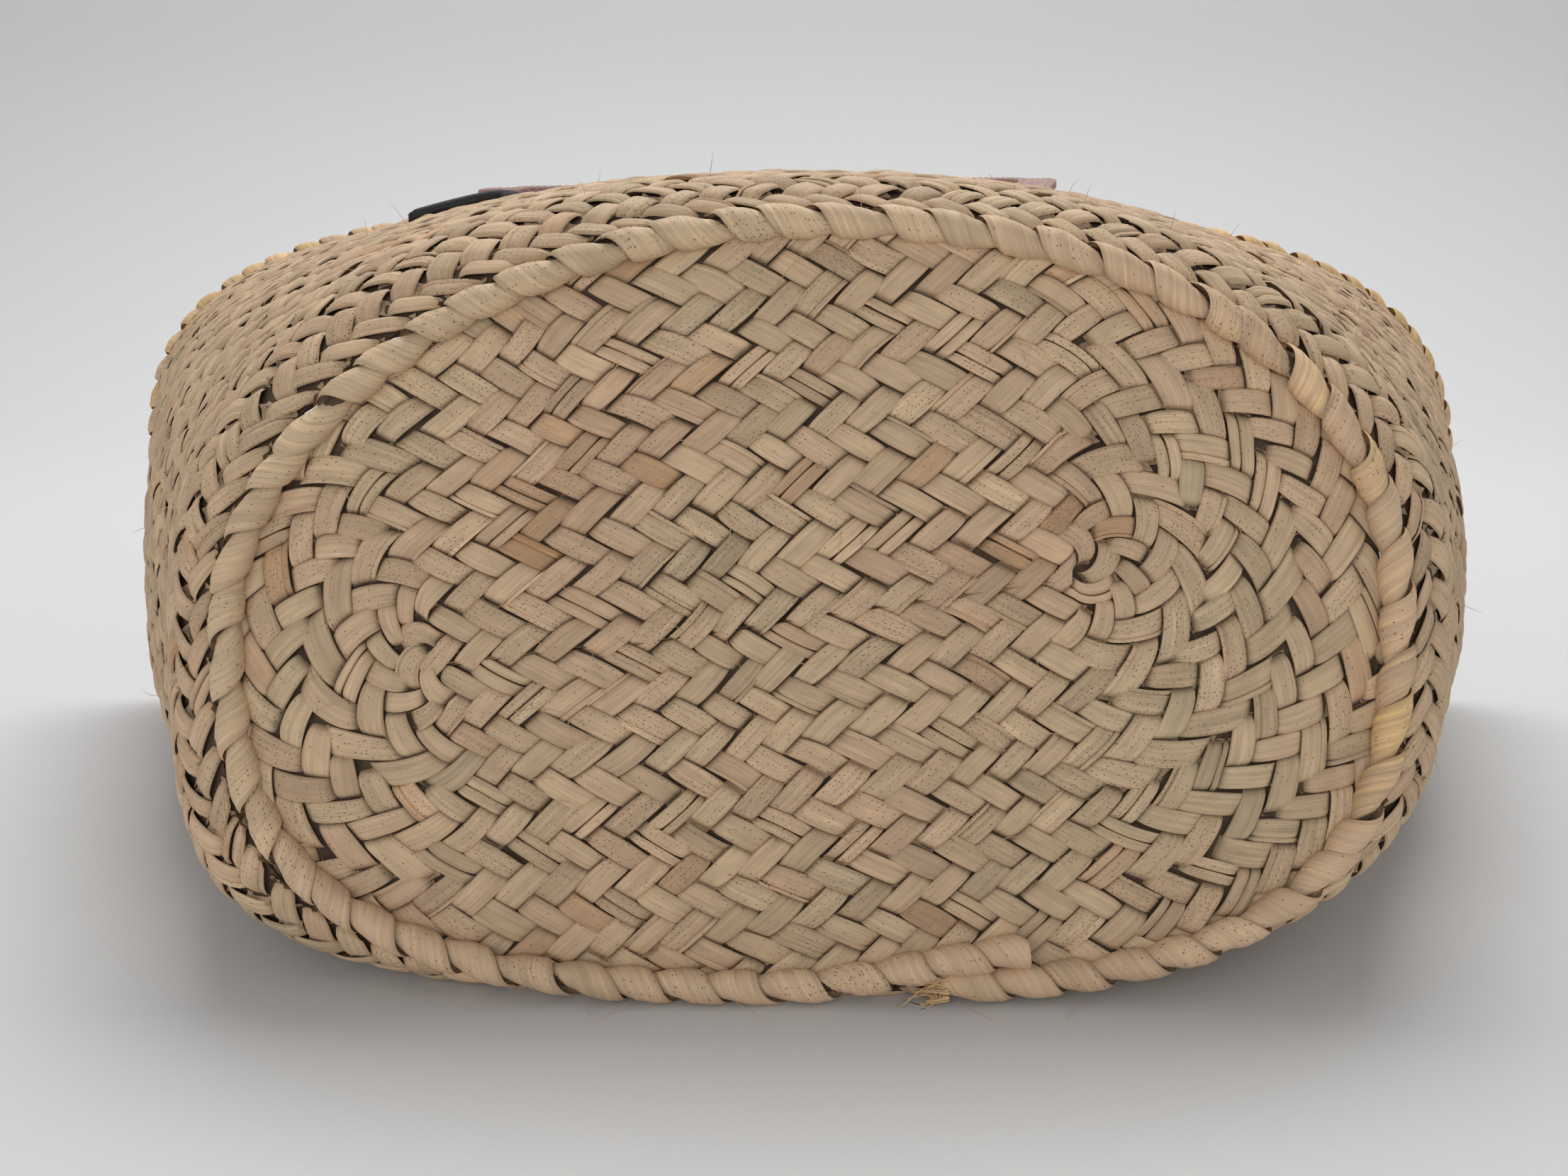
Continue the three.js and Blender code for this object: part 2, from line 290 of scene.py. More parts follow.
wall = Surface()
BASE_LEAN = math.radians(SECTIONS[0, 9])
BASE_UP = np.array([0, math.sin(BASE_LEAN), math.cos(BASE_LEAN)])
BASE_OUT = np.array([0, -math.cos(BASE_LEAN), math.sin(BASE_LEAN)])
BASE_MIDDLE = BASE_CENTRE_Z / math.cos(BASE_LEAN)


def base_point(x, up, height):
    """Point over the base panel's outer face; up is measured in its plane from the centre."""
    place = (up + BASE_MIDDLE)[..., None] * BASE_UP + (height - BASE_RECESS)[..., None] * BASE_OUT
    place[..., 0] += x
    return place


def soft_waves(x, y, size, seed):
    """Smooth random hills from -1 to 1, about size millimetres across."""
    waves = np.random.default_rng(seed)
    total = 0
    for _ in range(6):
        heading = waves.uniform(0, 2 * np.pi)
        length = size * waves.uniform(0.8, 1.8)
        phase = waves.uniform(0, 2 * np.pi)
        total = total + np.sin((x * math.cos(heading) + y * math.sin(heading)) * 2 * np.pi / length + phase)
    return total / 3


# Meshes

def mesh_object(name, points, faces, leaf_uv=None, tint=None):
    """Joined mesh from arrays: points in the bag's millimetres, faces, a UV and a tint for each point."""
    mesh = bpy.data.meshes.new(name)
    faces = faces if isinstance(faces, list) else faces.tolist()
    mesh.from_pydata(((points.reshape(-1, 3) + SHIFT) * MM).tolist(), [], faces)
    corners = np.empty(len(mesh.loops), dtype=np.int32)
    mesh.loops.foreach_get("vertex_index", corners)
    if leaf_uv is not None:
        layer = mesh.uv_layers.new(name="leaf")
        layer.uv.foreach_set("vector", leaf_uv.reshape(-1, 2)[corners].astype(np.float32).ravel())
    if tint is not None:
        colour = mesh.color_attributes.new("tint", "FLOAT_COLOR", "POINT")
        colour.data.foreach_set("color", tint.astype(np.float32).ravel())
    mesh.polygons.foreach_set("use_smooth", np.ones(len(mesh.polygons), dtype=bool))
    mesh.update()
    piece = bpy.data.objects.new(name, mesh)
    bpy.context.scene.collection.objects.link(piece)
    return piece


def grid_faces(count, rows, columns, flip=False):
    """Quads of count separate grids of rows by columns points."""
    start = (np.arange(rows - 1)[:, None] * columns + np.arange(columns - 1)[None, :]).ravel()
    quad = np.stack([start, start + columns, start + columns + 1, start + 1], axis=1)
    if flip:
        quad = quad[:, ::-1]
    return (np.arange(count)[:, None, None] * rows * columns + quad[None]).reshape(-1, 4)


def ring_faces(rings, sides, flip=False):
    """Quads between closed rings of points."""
    start = np.arange(rings - 1)[:, None] * sides
    a = (start + np.arange(sides)).ravel()
    b = (start + (np.arange(sides) + 1) % sides).ravel()
    quad = np.stack([a, b, b + sides, a + sides], axis=1)
    return quad[:, ::-1] if flip else quad


def end_caps(rings, sides):
    """Faces that close the first and last of some rings."""
    return [list(range(sides))[::-1], list(range((rings - 1) * sides, rings * sides))]


# Plait: leaves is a list of tables, each with a named column of values for some floats

def build_leaves(name, leaves, place, along, across, dome, flip=False):
    """Every leaf float as a small crowned grid, laid on a surface by place(u, v, height, band)."""
    t = {key: np.concatenate([part[key] for part in leaves])[:, None, None] for key in leaves[0]}
    count = len(t["u"])
    ahead = np.linspace(-1 - TUCK, 1 + TUCK, along)[None, :, None]
    even = np.linspace(-1, 1, across)[None, None, :]
    side = np.sign(even) * (1 - (1 - np.abs(even)) ** 1.7)
    inner = np.minimum(np.abs(ahead), 1)
    breadth = t["width"] * (1 - t["taper"] * inner**3)
    over = side * breadth + t["shift"] + t["bow"] * (1 - ahead**2)
    u = t["u"] + ahead * t["length"] * t["lu"] + over * t["su"]
    v = t["v"] + ahead * t["length"] * t["lv"] + over * t["sv"]
    ripple = np.sin(ahead * 5 + t["u"] * 37 + t["v"] * 11) * 0.06
    height = t["crown"] * (1 - 1.25 * np.abs(ahead) ** dome) + ripple
    height = height - t["curl"] * np.abs(side) ** 3 + t["tilt"] * side - LEAF_EDGE * (np.abs(side) > 0.999)
    points = place(u, v, height, np.broadcast_to(t["band"], u.shape))
    seeds = np.random.default_rng(len(name) + count)
    uv = spread(u.shape, ahead * LEAF * t["length"] + seeds.uniform(0, LEAF_STOCK, (count, 1, 1)),
                side * LEAF / 2 * t["width"] + seeds.uniform(0, LEAF_STOCK, (count, 1, 1)))
    # Painted shade: the leaf's edges and its ends tucked under the neighbours are darkened
    rim = np.clip((np.abs(side) - 0.93) / 0.07, 0, 1) * 0.6
    ends = np.clip((np.abs(ahead) - 0.9) / 0.25, 0, 1) * 0.7
    tint = spread(u.shape, t["light"], t["hue"], t["specks"], np.maximum(rim, ends))
    return mesh_object(name, points, grid_faces(count, along, across, flip), uv, tint)


def add_row_floats(leaves, u, v, row, band, hue_at, relief, gap):
    """One row's floats, with the odd ones: narrow, split, doubled by a sliver at one edge."""
    count = len(u)
    lean = 1.0 if row % 2 == 0 else -1.0
    odd = (rng.random(count) < 0.08) * rng.choice([-0.2, 0.3], count)
    row_values = dict(
        u=u, v=v, band=band, lu=lean * 0.5, lv=0.5, su=-lean * 0.25, sv=0.25,
        hue=np.clip(hue_at + rng.normal(0, 0.06, count) + odd, 0, 1),
        light=rng.normal(0.5, 0.15, count),
        specks=rng.random(count) ** 1.6,
        width=gap * rng.uniform(0.92, 1.08, count),
        length=rng.normal(1.0, 0.04, count),
        crown=relief * rng.uniform(0.8, 1.2, count),
        curl=relief * rng.uniform(0.15, 0.45, count),
        tilt=relief * rng.normal(0, 0.16, count),
        bow=rng.normal(0, 0.07, count),
        shift=rng.normal(0, 0.04, count),
        taper=rng.uniform(0.03, 0.18, count),
    )
    width, crown, curl, light, hue = (row_values[key] for key in ("width", "crown", "curl", "light", "hue"))
    kind = rng.random(count)
    doubled = kind < 0.2
    split = (kind >= 0.2) & (kind < 0.3)
    plain = ~(doubled | split)

    def put(mask, **changed):
        leaves.append({key: np.broadcast_to(np.asarray(value, float), count)[mask]
                       for key, value in {**row_values, **changed}.items()})

    put(plain)
    edge = np.where(rng.random(count) < 0.5, 1.0, -1.0)
    thin = rng.uniform(0.14, 0.3, count)
    put(doubled, width=width - thin * 0.8, shift=-edge * thin * 0.85)
    put(doubled, width=thin, shift=edge * (width - thin), crown=crown - 0.12 * relief, taper=0.0,
        curl=curl * 0.3, light=light + rng.normal(0, 0.15, count), hue=hue + rng.normal(0, 0.1, count))
    part = rng.uniform(0.35, 0.65, count)
    put(split, width=width * (1 - part) - 0.02, shift=edge * width * part)
    put(split, width=width * part - 0.02, shift=-edge * width * (1 - part), crown=crown - 0.2 * relief,
        light=light + rng.normal(0, 0.12, count))


# Base: a plait sewn round a spine, cut off by the rope

def stadium(u, distance, ends):
    """Place in the base's plane from floats along the plait and rows away from the spine."""
    lap = 2 * (SPINE_FLOATS + ends)
    u = np.where(distance > 0.3, u % lap, u)
    turned = np.where((u > SPINE_FLOATS + ends) & (distance > 0.3), -1.0, 1.0)
    u = np.where(turned < 0, u - SPINE_FLOATS - ends, u)
    angle = np.pi / 2 - np.pi * np.clip((u - SPINE_FLOATS) / ends, 0, 1)
    centre_u = np.minimum(u, SPINE_FLOATS) - SPINE_FLOATS / 2
    away = distance * BASE_ROW_PITCH
    return turned * (centre_u * PITCH + away * np.cos(angle)), turned * away * np.sin(angle)


def rim_line(steps):
    """Rope's centre line in the base's plane."""
    turn = np.arange(steps) / steps
    ring = section_point(np.zeros(steps), turn)
    return ring[:, 0], ring[:, 2] / math.cos(BASE_LEAN) - BASE_MIDDLE


def rim_reach():
    """Distance from the base's centre to the rope's centre line, by direction."""
    x, up = rim_line(2880)
    angle = np.arctan2(up, x) % (2 * np.pi)
    order = np.argsort(angle)
    return angle[order], np.hypot(x, up)[order]


RIM_ANGLES, RIM_REACHES = rim_reach()


def base_place(u, v, ends):
    along, away = stadium(u, v, ends)
    turn = math.radians(SPINE_TURN)
    half = SPINE_FLOATS * PITCH / 2
    x = SPINE_START[0] + math.cos(turn) * (along + half) - math.sin(turn) * away
    up = SPINE_START[1] + math.sin(turn) * (along + half) + math.cos(turn) * away
    x = x + 1.5 * soft_waves(x, up, 70, 3)
    up = up + 1.5 * soft_waves(x, up, 70, 4)
    return x, up


def inside_rim(x, up):
    """How far a place lies inside the rope's centre line."""
    reach = np.interp(np.arctan2(up, x) % (2 * np.pi), RIM_ANGLES, RIM_REACHES, period=2 * np.pi)
    return reach - np.hypot(x, up), reach


def base_hills(x, up):
    return 1.2 * soft_waves(x, up, 120, 5)


def keep_inside(u, v, ends, margin):
    """Places in the base's plane, held at least a margin inside the rope's centre line."""
    x, up = base_place(u, v, ends)
    room, reach = inside_rim(x, up)
    keep = np.where(room < margin, (reach - margin) / np.maximum(np.hypot(x, up), 1), 1.0)
    return x, up, keep, room


def lay_on_base(u, v, height, ends):
    x, up, keep, room = keep_inside(u, v, ends, 1.0)
    height = height + base_hills(x, up) - 1.2 * np.exp(-np.maximum(room, 0) / 6)
    return base_point(x * keep, up * keep, height)


def line_base(u, v, height, ends):
    x, up, keep, _ = keep_inside(u, v, ends, 4.0)
    return base_point(x * keep, up * keep, -height - WALL - 0.4)


def base_hue(x, up):
    """Orange strips left of the middle and by the right eye, greyer green ones at the lower right."""
    hue = 0.45 + 0.1 * soft_waves(x, up, 60, 6)
    hue = hue + 0.16 * (spot(x, up, (-65, 40), 900) + spot(x, up, (50, 15), 700))
    return hue - 0.16 * spot(x, up, (100, -40), 3000)


def base_floats():
    leaves = []
    for row in range(BASE_ROWS + 1):
        ends = BASE_BANDS[row]
        lap = 2 * (SPINE_FLOATS + ends) if row else SPINE_FLOATS + 1
        u = np.arange(lap) + 0.5 * (row % 2)
        v = np.full(lap, float(row))
        x, up = base_place(u, v, np.full(lap, float(ends)))
        room, _ = inside_rim(x, up)
        shown = room > -5
        u, v = u[shown], v[shown]
        u = u + rng.normal(0, 0.03, len(u))
        v = v + rng.normal(0, 0.03, len(u))
        add_row_floats(leaves, u, v, row, ends, base_hue(x, up)[shown], 1.25, 1.01)
    return leaves


# Wall: five plaits sewn edge to edge

def row_shares():
    """Share of the depth at even lengths along the wall, from the base to the mouth."""
    steps = np.linalg.norm(np.diff(wall.points, axis=0), axis=2).mean(axis=1)
    reach = np.concatenate([[0], np.cumsum(steps)])
    share = np.linspace(0, 1, wall.rows)
    ends = np.interp([FIRST_SHARE, LAST_SHARE], share, reach)
    return np.interp(np.linspace(*ends, 201), reach, share)


ROW_SHARES = row_shares()


def share_of(v):
    return np.interp(v / WALL_ROWS, np.linspace(0, 1, 201), ROW_SHARES)


def band_count(band):
    rows = WALL_ROWS / WALL_BANDS
    middle = share_of((band + 0.5) * rows)
    return int(round(np.interp(middle, np.linspace(0, 1, wall.rows), wall.girth) / PITCH))


def lay_on_wall(u, v, height, count):
    share = share_of(np.clip(v, -0.1, WALL_ROWS + 0.1))
    points = wall.at(share, u / count, height + PLAIT_SEAT)
    points[..., 2] = np.maximum(points[..., 2], OVER_FLOOR)
    return points


def line_wall(u, v, height, count):
    share = share_of(np.clip(v, -0.1, WALL_ROWS + 0.1))
    return wall.at(share, u / count, -height - PLAIT_SEAT)


def wall_floats(band, relief, gap):
    """Floats of one of the wall's sewn plaits."""
    leaves = []
    rows = WALL_ROWS // WALL_BANDS
    count = band_count(band)
    for row in range(band * rows, (band + 1) * rows):
        u = np.arange(count) + 0.5 * (row % 2) + band * 0.37
        part = (u / count) % 1
        u = u + rng.normal(0, 0.05, count)
        v = row + 0.5 + rng.normal(0, 0.05, count)
        hue = 0.45 + 0.12 * soft_waves(part * 900, v * PITCH, 80, 7)
        add_row_floats(leaves, u, v, row, count, hue, relief, gap)
    return leaves


# Shells behind the floats, coloured as painted shade so the gaps look dark

def wall_core():
    rows, steps = 49, 180
    share = np.linspace(FIRST_SHARE, LAST_SHARE, rows)[:, None]
    part = np.arange(steps)[None, :] / steps
    share, part = np.broadcast_arrays(share, part)
    sheets = [wall.at(share, part, np.full(share.shape, offset)) for offset in (0.35, -0.35)]
    faces = [ring_faces(rows, steps, flip=True), ring_faces(rows, steps) + rows * steps]
    return mesh_object("wall_core", np.stack(sheets), np.concatenate(faces))


def base_core():
    rings, steps, depths = 12, 120, (-1.4, -1.9)
    x, up = rim_line(steps)
    scale = np.linspace(1, 0, rings + 1)[:-1] * 0.985
    points = [base_point(x * k, up * k, depth + base_hills(x * k, up * k)) for depth in depths for k in scale]
    middles = [base_point(np.zeros(1), np.zeros(1), np.full(1, depth)) for depth in depths]
    faces = []
    for sheet in range(2):
        start = sheet * rings * steps
        faces += (ring_faces(rings, steps, flip=sheet == 1) + start).tolist()
        a = start + (rings - 1) * steps + np.arange(steps)
        b = start + (rings - 1) * steps + (np.arange(steps) + 1) % steps
        fan = np.stack([a, b, np.full(steps, 2 * rings * steps + sheet)], axis=1)
        faces += (fan if sheet == 0 else fan[:, ::-1]).tolist()
    return mesh_object("base_core", np.concatenate(points + middles), faces)


# Rope rims wound with leaf

def offset_ring(share, samples=4000):
    """Closed centre line of a rope, anticlockwise from the bottom centre, with its outward direction."""
    part = np.linspace(0, 1, samples + 1)[:-1]
    points = wall.blend(wall.points, np.full(samples, float(share)), part)
    tangent = unit(np.roll(points, -3, axis=0) - np.roll(points, 3, axis=0))
    front = BASE_OUT if share == 0 else np.array([0, 1.0, 0])
    outward = np.cross(tangent, front) if share == 0 else np.cross(front, tangent)
    outward *= np.sign(np.sum(outward * (points - points.mean(axis=0)), axis=1, keepdims=True))
    return points, outward, np.broadcast_to(front, points.shape)


class Path:
    """Line with an outward and a front direction, read by distance along it."""

    def __init__(self, points, outward, front):
        self.points, self.outward, self.front = points, outward, front
        self.reach = reach_along(points)
        self.length = self.reach[-1]

    def read(self, values, s):
        return read_along(values, self.reach, s)

    def around(self, s, angle, radius):
        """Point at a radius round the line; angle 0 is outward and 90 degrees is to the front."""
        out = self.read(self.outward, s)
        front = self.read(self.front, s)
        centre = self.read(self.points, s)
        return centre + radius[..., None] * (np.cos(angle)[..., None] * out + np.sin(angle)[..., None] * front)


def base_rope_path():
    """Base rope: it starts at its cut end right of the bottom centre and ends on top of its own start."""
    points, outward, front = offset_ring(0)
    x = points[:, 0]
    low = points[:, 2] < BASE_MIDDLE / 2
    start = int(np.argmin(np.where(low, np.abs(x - ROPE_START_X), 1e9)))
    order = (np.arange(len(points) + ROPE_LAP_STEPS) + start) % len(points)
    points, outward, front = points[order].copy(), outward[order], front[order]
    climb = np.clip((np.arange(len(order)) - (len(order) - ROPE_CLIMB_STEPS)) / ROPE_CLIMB_STEPS, 0, 1)
    ease = smooth_step(climb)
    points -= outward * (ROPE_LAP_RISE * ease)[:, None]
    points += front * (ROPE_LAP_FRONT * ease)[:, None]
    return Path(points, outward, front)


def mouth_rope_path():
    points, outward, front = offset_ring(1)
    order = np.arange(len(points) + MOUTH_LAP_STEPS) % len(points)
    return Path(points[order], outward[order], front[order])


def wind_rope(name, path, radius, wrap, hand, hue, slant, along, across):
    """Leaf wound round a rope: each turn bulges, and one of its edges lies under the next turn."""
    turns = int(round(path.length / wrap))
    wrap = path.length / turns
    draws = np.random.default_rng(len(name) * 7 + turns)
    start = (np.arange(turns) + 0.5) * wrap + draws.normal(0, 0.06 * wrap, turns)
    angle = np.linspace(math.radians(-75), math.radians(285), along)[None, :, None]
    even = np.linspace(-1, 1, across)[None, None, :]
    side = np.sign(even) * (1 - (1 - np.abs(even)) ** 1.4)
    turned = (angle - angle.min()) / (2 * np.pi)
    seen = 1 / (1 + np.exp(-(np.degrees(angle) - 90) / 40))
    advance = slant * (seen - 0.5) + (1 - slant) * (turned - 0.5)
    half = wrap * draws.uniform(0.56, 0.66, (turns, 1, 1))
    skew = draws.normal(0, 0.08, (turns, 1, 1)) * wrap * np.sin(angle)
    s = start[:, None, None] - hand * advance * wrap + side * half + skew
    bulge = draws.uniform(0.8, 1.2, (turns, 1, 1)) * ROPE_BULGE
    ridges = 0.1 * np.sin(side * half * 3.1 + angle * 1.5 + start[:, None, None])
    reach = radius + bulge * np.interp(side, TURN_SIDES, TURN_HEIGHTS) + ridges
    s = np.clip(s, 0, path.length)
    points = path.around(s, np.broadcast_to(angle, s.shape), np.broadcast_to(reach, s.shape))
    points[..., 2] = np.maximum(points[..., 2], OVER_FLOOR)
    uv = spread(s.shape, angle * radius + draws.uniform(0, LEAF_STOCK, (turns, 1, 1)),
                side * half + draws.uniform(0, LEAF_STOCK, (turns, 1, 1)))
    middle = path.read(path.points, start)
    shade = np.clip(hue(middle) + draws.normal(0, 0.05, turns), 0, 1)
    # Painted shade: each turn's edges are darkened, most where the edge lies under the next turn
    painted_edge_shade = np.clip((np.abs(side) - 0.88) / 0.12, 0, 1) * np.where(side < 0, 0.8, 0.3)
    light = draws.normal(0.6, 0.12, (turns, 1, 1))
    specks = draws.random((turns, 1, 1)) ** 2 * 0.7
    tint = spread(s.shape, light, shade[:, None, None], specks, painted_edge_shade)
    return mesh_object(name, points, grid_faces(turns, along, across), uv, tint)


def tube(name, path, radius, steps, sides):
    """Plain closed tube along a path, the core of a rope."""
    s = np.linspace(0, path.length, steps)[:, None]
    angle = np.arange(sides)[None, :] * 2 * np.pi / sides
    s, angle = np.broadcast_arrays(s, angle)
    points = path.around(s, angle, np.full(s.shape, float(radius)))
    points[..., 2] = np.maximum(points[..., 2], 0.3)
    return mesh_object(name, points, ring_faces(steps, sides).tolist() + end_caps(steps, sides))


def base_rope_hue(place):
    """Greyer at the upper left, pinkish at the lower left, yellow at the right and lower left corner."""
    x, z = place[:, 0] / 153, (place[:, 2] - 102) / 100
    hue = 0.45 - 0.12 * np.clip(z - x, 0, 1.4) + 0.14 * np.clip(x, 0, 1)
    return hue + 0.1 * spot(x, z, (-0.8, -0.6), 0.1)


def mouth_rope_hue(place):
    return np.full(len(place), 0.66)


# Leather fittings and rivets

def smooth_line(knots, count):
    """Centripetal Catmull-Rom line through the knots, in even steps."""
    knots = np.vstack([2 * knots[0] - knots[1], knots, 2 * knots[-1] - knots[-2]])
    fine = []
    for a, b, c, d in zip(knots[:-3], knots[1:-2], knots[2:-1], knots[3:]):
        t1 = np.linalg.norm(b - a) ** 0.5
        t2 = t1 + np.linalg.norm(c - b) ** 0.5
        t3 = t2 + np.linalg.norm(d - c) ** 0.5
        t = np.linspace(t1, t2, 41)[:-1, None]
        ab = (t1 - t) / t1 * a + t / t1 * b
        bc = (t2 - t) / (t2 - t1) * b + (t - t1) / (t2 - t1) * c
        cd = (t3 - t) / (t3 - t2) * c + (t - t2) / (t3 - t2) * d
        abc = (t2 - t) / t2 * ab + t / t2 * bc
        bcd = (t3 - t) / (t3 - t1) * bc + (t - t1) / (t3 - t1) * cd
        fine.append((t2 - t) / (t2 - t1) * abc + (t - t1) / (t2 - t1) * bcd)
    fine = np.vstack(fine + [knots[-2:-1]])
    reach = reach_along(fine)
    return read_along(fine, reach, np.linspace(0, reach[-1], count))


def rounded_profile(width, thickness, corner, steps=4):
    """Outline of a strap's section: flat, with round corners, from the lower left anticlockwise."""
    outline = []
    for side, level, turn in ((1, 0, -90), (1, 1, 0), (-1, 1, 90), (-1, 0, 180)):
        angle = np.radians(turn + 90 * np.arange(steps + 1) / steps)
        middle = (side * (width / 2 - corner), corner if level == 0 else thickness - corner)
        outline.append(middle + corner * np.stack([np.cos(angle), np.sin(angle)], axis=1))
    return np.concatenate(outline)


def on_wall(x, y):
    return wall_top(x, y) + 2 * SEAT_GAP


def strap_line(count):
    tab_end = TAB_START_Y + TAB_LENGTH
    low = section_at(np.array(1.0))[2] + MOUTH_RIM_R + 2 * SEAT_GAP
    knots = np.stack([
        TAB_LEFT_X + HANDLE_PATH[:, 0] * (TAB_RIGHT_X - TAB_LEFT_X),
        tab_end - STRAP_LAP + HANDLE_PATH[:, 1] * HANDLE_REACH,
        low + HANDLE_PATH[:, 2] * HANDLE_RISE,
    ], axis=-1)
    line = smooth_line(knots, count)
    over_tab = on_wall(line[:, 0], line[:, 1]) + TAB_THICKNESS + 2 * SEAT_GAP
    near = np.clip((tab_end + STRAP_THICKNESS + 6 - line[:, 1]) / 6, 0, 1)
    lifted = np.maximum(line[:, 2], over_tab * near + line[:, 2] * (1 - near))
    line[:, 2] = np.where(near > 0, lifted, line[:, 2])
    return line


def swept_strap(name, line, profile, tongue):
    """Strap along a line in the X-Y plane; both ends are rounded like a tongue."""
    side = unit(np.gradient(line, axis=0)[:, [1, 0, 2]] * (1, -1, 0))
    reach = reach_along(line)
    to_end = np.minimum(reach, reach[-1] - reach)
    narrow = np.where(to_end < tongue, np.sqrt(np.clip(1 - (1 - to_end / tongue) ** 2, 0.03, 1)), 1.0)
    points = line[:, None, :] + side[:, None, :] * (profile[None, :, 0] * narrow[:, None])[..., None]
    points[..., 2] += profile[None, :, 1]
    faces = ring_faces(len(line), len(profile), flip=True).tolist()
    faces += [cap[::-1] for cap in end_caps(len(line), len(profile))]
    return mesh_object(name, points, faces, spread(points.shape[:2], reach[:, None], profile[None, :, 0]))


def leather_plate(name, x, y, width, length, thickness, corner):
    """Soft-edged leather plate that follows the wall."""
    columns, rows = 15, 31
    across = np.linspace(-1, 1, columns)[None, :]
    ahead = np.linspace(-1, 1, rows)[:, None]
    inset = np.maximum(np.abs(ahead) * length / 2 - (length / 2 - corner), 0)
    half = width / 2 - corner + np.sqrt(np.maximum(corner**2 - inset**2, 0))
    px, py = np.broadcast_arrays(x + across * half, y + length / 2 + ahead * length / 2)
    to_edge = np.minimum(half - np.abs(px - x), length / 2 - np.abs(py - y - length / 2))
    soft = np.clip(to_edge / 0.9, 0, 1)
    top = thickness - 0.8 * (1 - np.sqrt(1 - (1 - soft) ** 2))
    seat = on_wall(px, py)
    points = np.stack([spread(px.shape, px, py, seat + top), spread(px.shape, px, py, seat)])
    count = rows * columns
    faces = grid_faces(1, rows, columns, flip=True).tolist()
    faces += (grid_faces(1, rows, columns) + count).tolist()
    grid = np.arange(count).reshape(rows, columns)
    border = np.concatenate([grid[0, :-1], grid[:-1, -1], grid[-1, :0:-1], grid[:0:-1, 0]])
    after = np.roll(border, -1)
    faces += np.stack([border, border + count, after + count, after], axis=1).tolist()
    return mesh_object(name, points, faces, np.stack([points[..., 1], points[..., 0]], axis=-1))


def stitches(name, places, headings, length, radius):
    """Row of short rounded thread bumps."""
    along = np.linspace(0, np.pi, 6)[None, :, None]
    around = np.linspace(0, 2 * np.pi, 7)[None, None, :-1]
    thick = radius * np.sin(along) ** 0.6 + 0.01
    forward = -np.cos(along) * length / 2
    side = np.stack([-headings[:, 1], headings[:, 0], np.zeros(len(headings))], axis=-1)
    shape = (len(places), 6, 6)
    points = places[:, None, None, :] + np.broadcast_to(forward, shape)[..., None] * headings[:, None, None, :]
    points = points + np.broadcast_to(thick * np.cos(around), shape)[..., None] * side[:, None, None, :]
    points[..., 2] += np.broadcast_to(thick * np.sin(around), shape)
    faces = np.arange(len(places))[:, None, None] * 36 + ring_faces(6, 6, flip=True)
    return mesh_object(name, points, faces.reshape(-1, 4))


def strap_stitches(line):
    """Two rows of stitches along the strap's top."""
    ahead = unit(np.gradient(line, axis=0))
    side = ahead[:, [1, 0, 2]] * (1, -1, 0)
    reach = reach_along(line)
    marks = np.arange(STITCH_PITCH * 2, reach[-1] - STITCH_PITCH * 2, STITCH_PITCH)
    places, headings = [], []
    for edge in (-1, 1):
        at = read_along(line + side * edge * (STRAP_WIDTH / 2 - 2.4), reach, marks)
        places.append(at + (0, 0, STRAP_THICKNESS))
        headings.append(read_along(ahead, reach, marks))
    return stitches("strap_stitching", np.concatenate(places), np.concatenate(headings), 2.3, 0.32)


def plate_stitches(name, x, y, width, length, thickness):
    """Stitches round a plate, set in from its edge."""
    inset = 2.0
    w, h = width / 2 - inset, length / 2 - inset
    corners = np.array([[-w, -h], [w, -h], [w, h], [-w, h], [-w, -h]])
    places, headings = [], []
    for a, b in zip(corners[:-1], corners[1:]):
        span = np.linalg.norm(b - a)
        count = int(span // STITCH_PITCH)
        t = (np.arange(count) + 0.5) / count
        spot = a + (b - a) * t[:, None] + np.array([x, y + length / 2])
        places.append(np.stack([spot[:, 0], spot[:, 1], on_wall(spot[:, 0], spot[:, 1]) + thickness], axis=-1))
        headings.append(np.tile(np.append((b - a) / span, 0), (count, 1)))
    return stitches(name, np.concatenate(places), np.concatenate(headings), 2.3, 0.3)


def rivet_head(name, node):
    """Domed head with a rolled rim, in the CAD rivet's place."""
    low, high = (np.array(corner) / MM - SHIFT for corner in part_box(node))
    x, y, seat = (low[0] + high[0]) / 2, (low[1] + high[1]) / 2, low[2]
    radii = np.array([0, 0.9, 1.6, 2.1, 2.35, 2.5, 2.7, 2.9, RIVET_R, 2.95, 0])[:, None]
    rises = np.array([1, 0.96, 0.84, 0.62, 0.42, 0.36, 0.42, 0.34, 0.16, 0, 0])[:, None]
    sides = 40
    angle = np.arange(sides) * 2 * np.pi / sides
    points = spread((len(radii), sides), x + radii * np.cos(angle), y + radii * np.sin(angle),
                    seat + RIVET_HEIGHT * rises)
    return mesh_object(name, points, ring_faces(len(radii), sides, flip=True))


# Loose fibres and the rope's cut end

